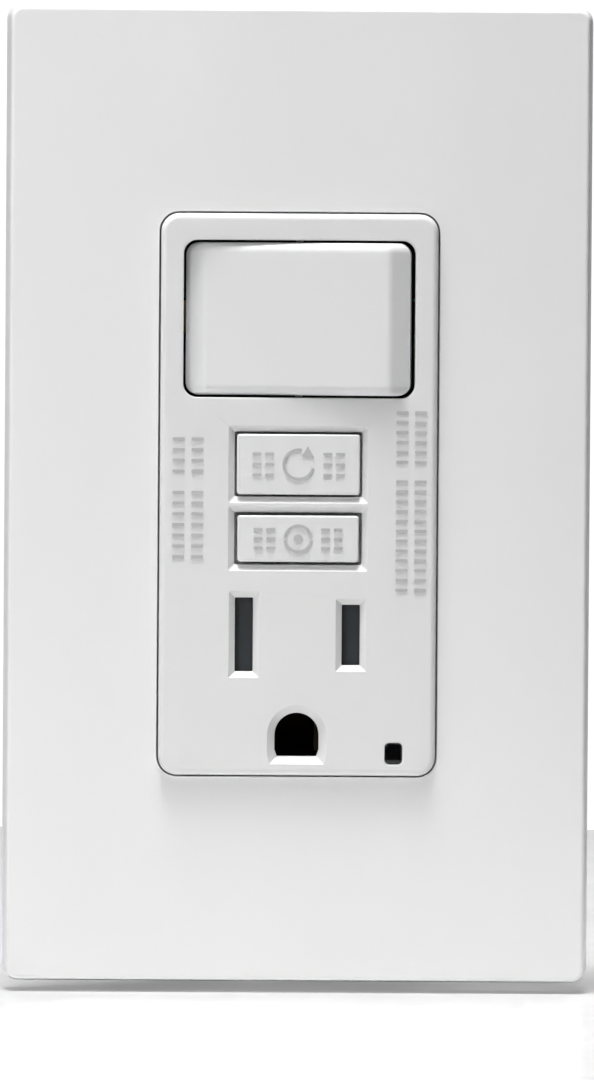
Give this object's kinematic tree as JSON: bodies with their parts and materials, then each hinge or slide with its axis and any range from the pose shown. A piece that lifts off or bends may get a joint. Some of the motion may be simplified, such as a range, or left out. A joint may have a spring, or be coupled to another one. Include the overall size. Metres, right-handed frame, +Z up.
{
  "type": "gfci outlet",
  "caption": "Ground-fault outlet with a rocker switch, test and reset buttons, one shuttered receptacle and a screwless wall plate.",
  "frame": {"origin": "middle of the device in the plane of the wall, which is the cover plate's rear rim and the strap's rear face", "axes": "+X right as seen from the room, +Y into the wall, +Z up; the face looks along -Y"},
  "size_m": [0.0698, 0.0358, 0.1166],
  "materials": {
    "cover_white": "smooth satin white, moulded",
    "face_white": "smooth satin white, moulded",
    "key_white": "smooth satin white, moulded",
    "bracket_white": "matt natural white",
    "housing_grey": "matt moulded grey",
    "tray_black": "matt moulded black",
    "shutter_grey": "dark slate, smooth",
    "lens_smoke": "smoked clear plastic",
    "zinc_steel": "zinc plated",
    "spring_steel": "bright drawn wire",
    "green_steel": "green dyed plating",
    "brass": "stamped brass",
    "nickel_silver": "nickel plated brass",
    "bronze": "phosphor bronze strip",
    "copper_wire": "enamelled copper winding",
    "fibre": "pressed fibre",
    "board_green": "solder mask over glass epoxy",
    "black_epoxy": "black epoxy",
    "varistor_blue": "blue epoxy dip",
    "film_yellow": "yellow film wrap",
    "lamp_green": "tinted clear epoxy"
  },
  "bodies": {
    "chassis": {"cover_bracket": "bracket_white", "mounting_strap": "zinc_steel", "bracket_screw_top": "zinc_steel", "bracket_screw_bottom": "zinc_steel", "box_screw_top": "zinc_steel", "box_screw_bottom": "zinc_steel", "screw_retainer_top": "fibre", "screw_retainer_bottom": "fibre", "front_cover": "face_white", "rear_housing": "housing_grey", "inner_frame": "tray_black", "housing_screw_top_right": "zinc_steel", "housing_screw_top_left": "zinc_steel", "housing_screw_bottom_right": "zinc_steel", "housing_screw_bottom_left": "zinc_steel", "ground_screw": "green_steel", "line_hot_terminal": "brass", "line_neutral_terminal": "nickel_silver", "switch_feed_terminal": "brass", "switch_load_terminal": "brass", "reset_spring": "spring_steel", "solenoid_bobbin": "bracket_white", "solenoid_coil": "copper_wire", "plunger_spring": "spring_steel", "circuit_board": "board_green", "sense_coil": "black_epoxy", "grounded_neutral_coil": "black_epoxy", "varistor": "varistor_blue", "controller_chip": "black_epoxy", "filter_capacitor": "film_yellow", "indicator_led": "lamp_green", "light_pipe": "lens_smoke", "hot_contact": "brass", "neutral_contact": "nickel_silver", "ground_contact": "brass", "shutter_spring": "spring_steel"},
    "cover": {"cover_plate": "cover_white"},
    "rocker": {"switch_rocker": "key_white", "switch_plunger_spring": "spring_steel"},
    "rocker_plunger": {"switch_plunger": "nickel_silver"},
    "switch_lever": {"switch_contact_arm": "brass"},
    "reset_key": {"reset_button": "key_white", "reset_pin": "zinc_steel"},
    "test_key": {"test_button": "key_white"},
    "test_leaf": {"test_contact": "bronze"},
    "shutter": {"shutter_slider": "shutter_grey"},
    "trip_plunger": {"solenoid_plunger": "zinc_steel"},
    "carrier": {"contact_carrier": "tray_black"},
    "latch": {"latch_plate": "zinc_steel"},
    "arm_hot": {"moving_arm_hot": "bronze"},
    "arm_neutral": {"moving_arm_neutral": "bronze"},
    "line_hot_grip": {"line_hot_screw": "brass", "line_hot_clamp": "zinc_steel"},
    "line_neutral_grip": {"line_neutral_screw": "nickel_silver", "line_neutral_clamp": "zinc_steel"},
    "switch_feed_grip": {"switch_feed_screw": "brass", "switch_feed_clamp": "zinc_steel"},
    "switch_load_grip": {"switch_load_screw": "brass", "switch_load_clamp": "zinc_steel"}
  },
  "joints": [
    {"name": "rocker_tilt", "type": "hinge", "parent": "chassis", "child": "rocker", "pos_m": [0, -0.0046, 0.02085], "axis": [0, 0, 1], "range_deg": [0, 10]},
    {"name": "switch_lever_tilt", "type": "hinge", "parent": "chassis", "child": "switch_lever", "pos_m": [0, 0.0036, 0.02085], "axis": [0, 0, 1], "range_deg": [-8, 0]},
    {"name": "rocker_plunger_slide", "type": "slide", "parent": "rocker", "child": "rocker_plunger", "axis": [-0.0872, -0.9962, 0], "range_m": [0, 0.0008], "stiffness_N_per_m": 300, "springref_m": -0.001, "deforming": ["switch_plunger_spring"]},
    {"name": "reset_press", "type": "slide", "parent": "chassis", "child": "reset_key", "axis": [0, 1, 0], "range_m": [0, 0.0018], "stiffness_N_per_m": 400, "springref_m": -0.002, "deforming": ["reset_spring"]},
    {"name": "test_press", "type": "slide", "parent": "chassis", "child": "test_key", "axis": [0, 1, 0], "range_m": [0, 0.0013], "stiffness_N_per_m": 500, "springref_m": -0.001},
    {"name": "test_leaf_bend", "type": "hinge", "parent": "chassis", "child": "test_leaf", "pos_m": [-0.0115, -0.0017, -0.00522], "axis": [0, 0, 1], "range_deg": [0, 6.5]},
    {"name": "shutter_slide", "type": "slide", "parent": "chassis", "child": "shutter", "axis": [1, 0, 0], "range_m": [0, 0.0029], "stiffness_N_per_m": 60, "springref_m": -0.002, "deforming": ["shutter_spring"]},
    {"name": "trip", "type": "slide", "parent": "chassis", "child": "trip_plunger", "axis": [0, 0, -1], "range_m": [0, 0.0018], "stiffness_N_per_m": 150, "springref_m": -0.001, "deforming": ["plunger_spring"]},
    {"name": "carrier_slide", "type": "slide", "parent": "chassis", "child": "carrier", "axis": [0, 1, 0], "range_m": [0, 0.0012]},
    {"name": "latch_slide", "type": "slide", "parent": "carrier", "child": "latch", "axis": [0, 0, -1], "range_m": [0, 0.0018]},
    {"name": "arm_hot_swing", "type": "hinge", "parent": "chassis", "child": "arm_hot", "pos_m": [0.0081, 0.0163, -0.0093], "axis": [-1, 0, 0], "range_deg": [0, 4]},
    {"name": "arm_neutral_swing", "type": "hinge", "parent": "chassis", "child": "arm_neutral", "pos_m": [-0.0081, 0.0163, -0.0093], "axis": [-1, 0, 0], "range_deg": [0, 4]},
    {"name": "line_hot_loosen", "type": "slide", "parent": "chassis", "child": "line_hot_grip", "axis": [1, 0, 0], "range_m": [0, 0.0018]},
    {"name": "line_neutral_loosen", "type": "slide", "parent": "chassis", "child": "line_neutral_grip", "axis": [-1, 0, 0], "range_m": [0, 0.0018]},
    {"name": "switch_feed_loosen", "type": "slide", "parent": "chassis", "child": "switch_feed_grip", "axis": [1, 0, 0], "range_m": [0, 0.0018]},
    {"name": "switch_load_loosen", "type": "slide", "parent": "chassis", "child": "switch_load_grip", "axis": [-1, 0, 0], "range_m": [0, 0.0018]},
    {"name": "cover_pull", "type": "slide", "parent": "chassis", "child": "cover", "axis": [0, -1, 0], "range_m": [0, 0.012]}
  ],
  "couplings": [
    {"joint": "switch_lever_tilt", "follows": "rocker_tilt", "ratio": -0.8},
    {"joint": "test_leaf_bend", "follows": "test_press", "rad_per_m": 87.2},
    {"joint": "carrier_slide", "follows": "trip", "ratio": 0.6666},
    {"joint": "latch_slide", "follows": "trip", "ratio": 1},
    {"joint": "arm_hot_swing", "follows": "trip", "rad_per_m": 38.78},
    {"joint": "arm_neutral_swing", "follows": "trip", "rad_per_m": 38.78}
  ]
}
